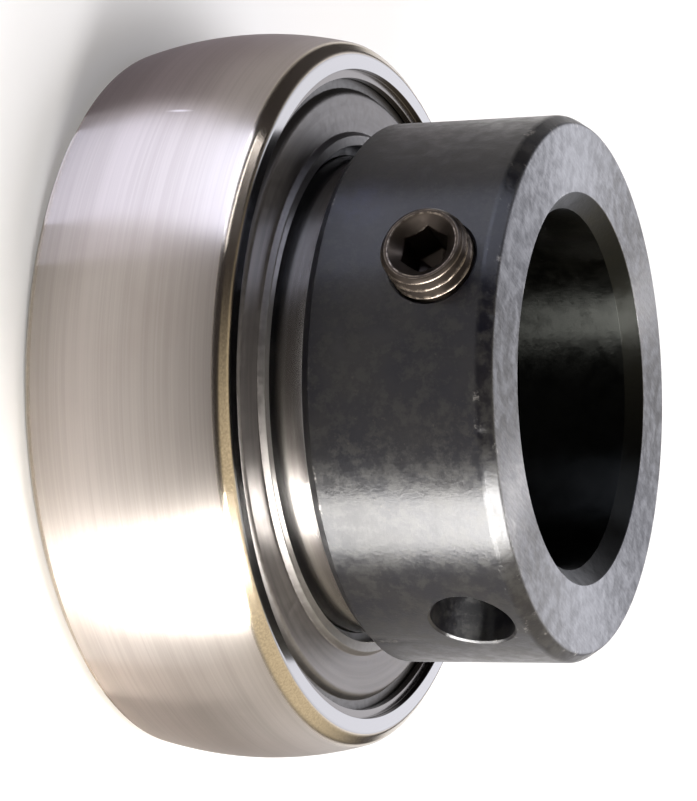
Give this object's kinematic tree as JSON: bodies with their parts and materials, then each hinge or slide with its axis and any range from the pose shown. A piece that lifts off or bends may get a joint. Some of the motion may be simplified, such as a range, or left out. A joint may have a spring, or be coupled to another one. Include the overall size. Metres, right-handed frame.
{
  "type": "insert bearing",
  "caption": "Ball bearing insert with a spherical outside, sealed sides and an eccentric locking collar with a set screw.",
  "frame": {"origin": "centre of the back face, on the axis, where the bearing stands", "axes": "+Z along the shaft axis towards the locking collar; the set screw points to -Y"},
  "size_m": [0.052, 0.052, 0.031],
  "materials": {
    "ring_steel": "satin ground",
    "race_steel": "polished",
    "ball_steel": "polished",
    "cage_steel": "pressed",
    "rivet_steel": "pressed",
    "shield_steel": "satin grey",
    "seal_rubber": "matt",
    "collar_oxide": "black oxide",
    "screw_oxide": "dark oxide"
  },
  "bodies": {
    "outer": {"outer_ring": "ring_steel", "seal_front_shield": "shield_steel", "seal_front_lip": "seal_rubber", "seal_back_shield": "shield_steel", "seal_back_lip": "seal_rubber"},
    "inner": {"inner_ring": "race_steel"},
    "cage": {"cage_front": "cage_steel", "cage_back": "cage_steel", "cage_rivets": "rivet_steel"},
    "collar": {"locking_collar": "collar_oxide"},
    "screw": {"set_screw": "screw_oxide"},
    "ball_1": {"ball_1": "ball_steel"},
    "ball_2": {"ball_2": "ball_steel"},
    "ball_3": {"ball_3": "ball_steel"},
    "ball_4": {"ball_4": "ball_steel"},
    "ball_5": {"ball_5": "ball_steel"},
    "ball_6": {"ball_6": "ball_steel"},
    "ball_7": {"ball_7": "ball_steel"},
    "ball_8": {"ball_8": "ball_steel"},
    "ball_9": {"ball_9": "ball_steel"}
  },
  "joints": [
    {"name": "inner_spin", "type": "hinge", "parent": "outer", "child": "inner", "pos_m": [0, 0, 0.0075], "axis": [0, 0, 1], "continuous": true},
    {"name": "cage_orbit", "type": "hinge", "parent": "outer", "child": "cage", "pos_m": [0, 0, 0.0075], "axis": [0, 0, 1], "continuous": true},
    {"name": "collar_lock", "type": "hinge", "parent": "inner", "child": "collar", "pos_m": [0, 0, 0.0075], "axis": [0, 0, 1], "range_deg": [-20, 20]},
    {"name": "screw_travel", "type": "slide", "parent": "collar", "child": "screw", "axis": [0, -1, 0], "range_m": [-0.00065, 0.0035]},
    {"name": "ball_1_spin", "type": "hinge", "parent": "cage", "child": "ball_1", "pos_m": [0.01925, 0, 0.0075], "axis": [0, 0, 1], "continuous": true},
    {"name": "ball_2_spin", "type": "hinge", "parent": "cage", "child": "ball_2", "pos_m": [0.01475, 0.01237, 0.0075], "axis": [0, 0, 1], "continuous": true},
    {"name": "ball_3_spin", "type": "hinge", "parent": "cage", "child": "ball_3", "pos_m": [0.00334, 0.01896, 0.0075], "axis": [0, 0, 1], "continuous": true},
    {"name": "ball_4_spin", "type": "hinge", "parent": "cage", "child": "ball_4", "pos_m": [-0.00962, 0.01667, 0.0075], "axis": [0, 0, 1], "continuous": true},
    {"name": "ball_5_spin", "type": "hinge", "parent": "cage", "child": "ball_5", "pos_m": [-0.01809, 0.00658, 0.0075], "axis": [0, 0, 1], "continuous": true},
    {"name": "ball_6_spin", "type": "hinge", "parent": "cage", "child": "ball_6", "pos_m": [-0.01809, -0.00658, 0.0075], "axis": [0, 0, 1], "continuous": true},
    {"name": "ball_7_spin", "type": "hinge", "parent": "cage", "child": "ball_7", "pos_m": [-0.00962, -0.01667, 0.0075], "axis": [0, 0, 1], "continuous": true},
    {"name": "ball_8_spin", "type": "hinge", "parent": "cage", "child": "ball_8", "pos_m": [0.00334, -0.01896, 0.0075], "axis": [0, 0, 1], "continuous": true},
    {"name": "ball_9_spin", "type": "hinge", "parent": "cage", "child": "ball_9", "pos_m": [0.01475, -0.01237, 0.0075], "axis": [0, 0, 1], "continuous": true}
  ],
  "couplings": [
    {"joint": "cage_orbit", "follows": "inner_spin", "ratio": 0.39691},
    {"joint": "ball_1_spin", "follows": "inner_spin", "ratio": -2.322},
    {"joint": "ball_2_spin", "follows": "inner_spin", "ratio": -2.322},
    {"joint": "ball_3_spin", "follows": "inner_spin", "ratio": -2.322},
    {"joint": "ball_4_spin", "follows": "inner_spin", "ratio": -2.322},
    {"joint": "ball_5_spin", "follows": "inner_spin", "ratio": -2.322},
    {"joint": "ball_6_spin", "follows": "inner_spin", "ratio": -2.322},
    {"joint": "ball_7_spin", "follows": "inner_spin", "ratio": -2.322},
    {"joint": "ball_8_spin", "follows": "inner_spin", "ratio": -2.322},
    {"joint": "ball_9_spin", "follows": "inner_spin", "ratio": -2.322}
  ]
}
